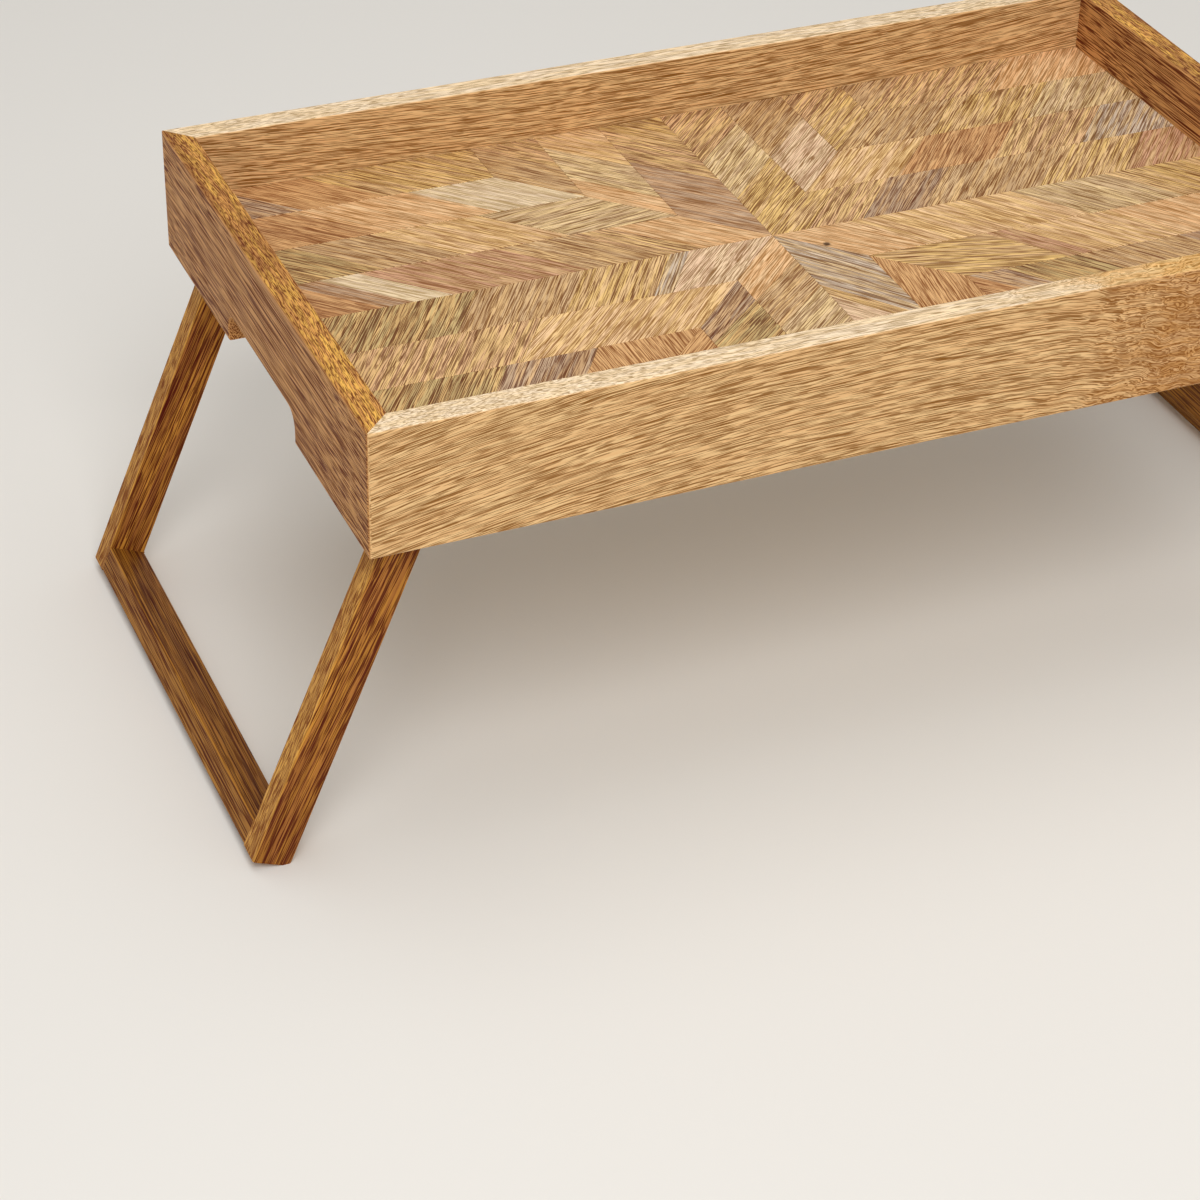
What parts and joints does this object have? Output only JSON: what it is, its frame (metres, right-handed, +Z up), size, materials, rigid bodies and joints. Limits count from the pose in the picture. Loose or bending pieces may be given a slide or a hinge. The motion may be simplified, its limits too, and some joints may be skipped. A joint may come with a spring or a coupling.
{
  "type": "breakfast tray",
  "caption": "Wooden bed tray with a mitred rim, a star parquet floor, hand notches in the ends and splayed leg frames that fold flat under the floor.",
  "frame": {"origin": "on the table, under the middle of the tray, with both leg frames open", "axes": "+X along the tray's length, +Y from the front rail to the back rail, +Z up"},
  "size_m": [0.7242, 0.348, 0.268],
  "materials": {
    "rim_wood": "satin oil",
    "leg_wood": "satin oil",
    "parquet_wood": "satin oil",
    "panel_ply": "sanded",
    "joint_wood": "plain",
    "screw_steel": "satin",
    "pivot_brass": "satin",
    "spacer_nylon": "matte"
  },
  "bodies": {
    "tray": {"back_left_mitre_tongue": "joint_wood", "back_left_parquet_course_1": "parquet_wood", "back_left_parquet_course_2": "parquet_wood", "back_left_parquet_course_3": "parquet_wood", "back_left_parquet_course_4": "parquet_wood", "back_left_pivot_insert": "pivot_brass", "back_left_pivot_screw": "screw_steel", "back_left_pivot_spacer": "spacer_nylon", "back_rail": "rim_wood", "back_right_mitre_tongue": "joint_wood", "back_right_parquet_course_1": "parquet_wood", "back_right_parquet_course_2": "parquet_wood", "back_right_parquet_course_3": "parquet_wood", "back_right_parquet_course_4": "parquet_wood", "back_right_pivot_insert": "pivot_brass", "back_right_pivot_screw": "screw_steel", "back_right_pivot_spacer": "spacer_nylon", "floor_panel": "panel_ply", "front_left_mitre_tongue": "joint_wood", "front_left_parquet_course_1": "parquet_wood", "front_left_parquet_course_2": "parquet_wood", "front_left_parquet_course_3": "parquet_wood", "front_left_parquet_course_4": "parquet_wood", "front_left_pivot_insert": "pivot_brass", "front_left_pivot_screw": "screw_steel", "front_left_pivot_spacer": "spacer_nylon", "front_rail": "rim_wood", "front_right_mitre_tongue": "joint_wood", "front_right_parquet_course_1": "parquet_wood", "front_right_parquet_course_2": "parquet_wood", "front_right_parquet_course_3": "parquet_wood", "front_right_parquet_course_4": "parquet_wood", "front_right_pivot_insert": "pivot_brass", "front_right_pivot_screw": "screw_steel", "front_right_pivot_spacer": "spacer_nylon", "left_end_board": "rim_wood", "right_end_board": "rim_wood"},
    "left_leg": {"back_left_pivot_bush": "pivot_brass", "back_left_upright": "leg_wood", "front_left_pivot_bush": "pivot_brass", "front_left_upright": "leg_wood", "left_foot_rail": "leg_wood", "left_leg_dowels": "joint_wood"},
    "right_leg": {"back_right_pivot_bush": "pivot_brass", "back_right_upright": "leg_wood", "front_right_pivot_bush": "pivot_brass", "front_right_upright": "leg_wood", "right_foot_rail": "leg_wood", "right_leg_dowels": "joint_wood"}
  },
  "joints": [
    {"name": "left_leg_fold", "type": "hinge", "parent": "tray", "child": "left_leg", "pos_m": [-0.26658, 0, 0.2085], "axis": [0, -1, 0], "range_deg": [0, 112.5]},
    {"name": "right_leg_fold", "type": "hinge", "parent": "tray", "child": "right_leg", "pos_m": [0.26658, 0, 0.2085], "axis": [0, 1, 0], "range_deg": [0, 112.5]}
  ]
}
